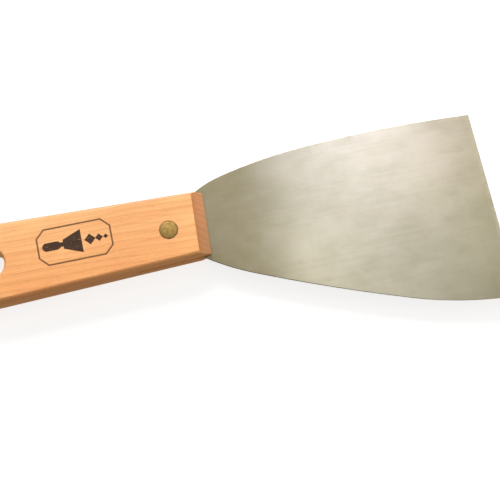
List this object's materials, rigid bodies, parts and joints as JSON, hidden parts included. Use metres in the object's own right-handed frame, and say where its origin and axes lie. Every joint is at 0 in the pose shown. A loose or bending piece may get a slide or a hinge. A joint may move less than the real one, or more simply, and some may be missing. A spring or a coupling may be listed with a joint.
{
  "type": "putty knife",
  "caption": "Putty knife: flared, taper-ground steel blade riveted into a sawn kerf of a flat tapered beech handle, with a hanging hole through the rounded butt.",
  "frame": {"origin": "centre of the hanging hole, at mid-thickness of the handle", "axes": "+X along the handle towards the blade's working edge, +Z out of the handle face that carries the rivet's socket head, along the hanging hole; the wider flare of the blade is on the -Y side"},
  "size_m": [0.2228, 0.0801, 0.0154],
  "materials": {
    "blade_steel": "satin, fine cross-ground taper",
    "beech": "sanded beech under a thin satin lacquer, fine lengthwise grain, darker end grain",
    "rivet_brass": "dull, lightly tarnished brass"
  },
  "bodies": {
    "root": {"blade": "blade_steel", "handle": "beech", "rivet_socket": "rivet_brass", "rivet_pin": "rivet_brass"}
  },
  "joints": []
}
